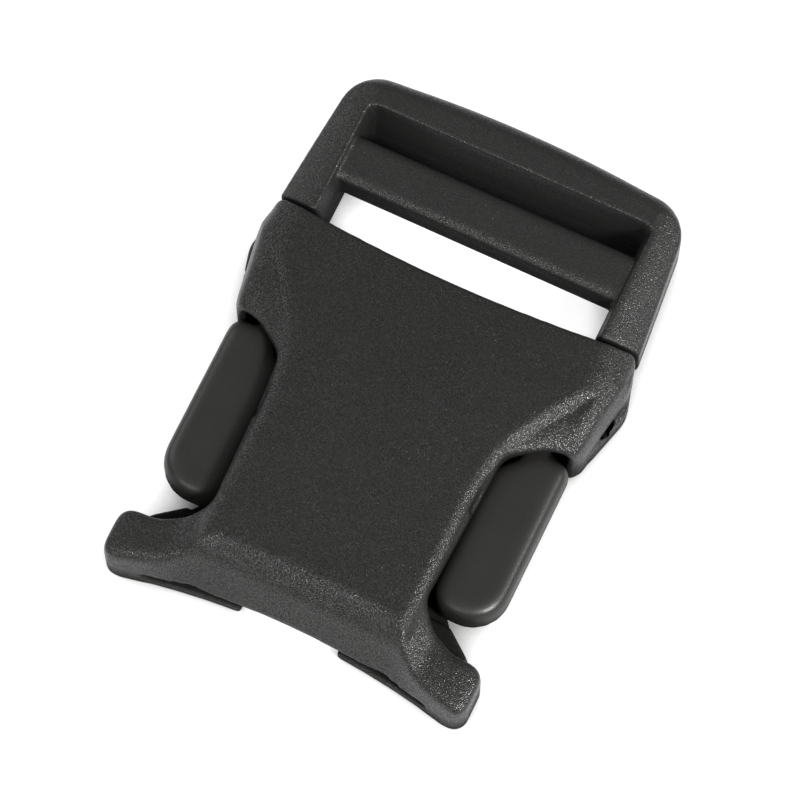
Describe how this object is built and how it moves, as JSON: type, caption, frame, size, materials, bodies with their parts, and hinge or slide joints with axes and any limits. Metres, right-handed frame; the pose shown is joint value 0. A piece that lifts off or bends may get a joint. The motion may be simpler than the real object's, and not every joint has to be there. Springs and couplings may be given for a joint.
{
  "type": "side-release buckle",
  "caption": "Side-release strap buckle with two squeeze latch arms, a ladder-lock frame for adjustable webbing and a split bar for a sewn strap.",
  "frame": {"origin": "centre of the footprint, on the plane the buckle's back lies on", "axes": "+X across the webbing, +Y along the webbing from the female housing to the male half, +Z out of the front panel"},
  "size_m": [0.0544, 0.0756, 0.0114],
  "materials": {
    "housing_plastic": "fine spark-eroded texture, black",
    "frame_plastic": "fine spark-eroded texture, black",
    "latch_plastic": "smooth satin, black"
  },
  "bodies": {
    "female_half": {"female_housing": "housing_plastic"},
    "male_half": {"male_frame": "frame_plastic"},
    "left_latch": {"left_latch_arm": "latch_plastic"},
    "right_latch": {"right_latch_arm": "latch_plastic"}
  },
  "joints": [
    {"name": "release_slide", "type": "slide", "parent": "female_half", "child": "male_half", "axis": [0, 1, 0], "range_m": [0, 0.045], "deforming": ["left_latch_arm", "right_latch_arm"]},
    {"name": "left_latch_press", "type": "hinge", "parent": "male_half", "child": "left_latch", "pos_m": [-0.018, 0.0112, 0.0051], "axis": [0, 0, 1], "range_deg": [0, 9], "stiffness_Nm_per_rad": 1.5},
    {"name": "right_latch_press", "type": "hinge", "parent": "male_half", "child": "right_latch", "pos_m": [0.018, 0.0112, 0.0051], "axis": [0, 0, -1], "range_deg": [0, 9], "stiffness_Nm_per_rad": 1.5}
  ]
}
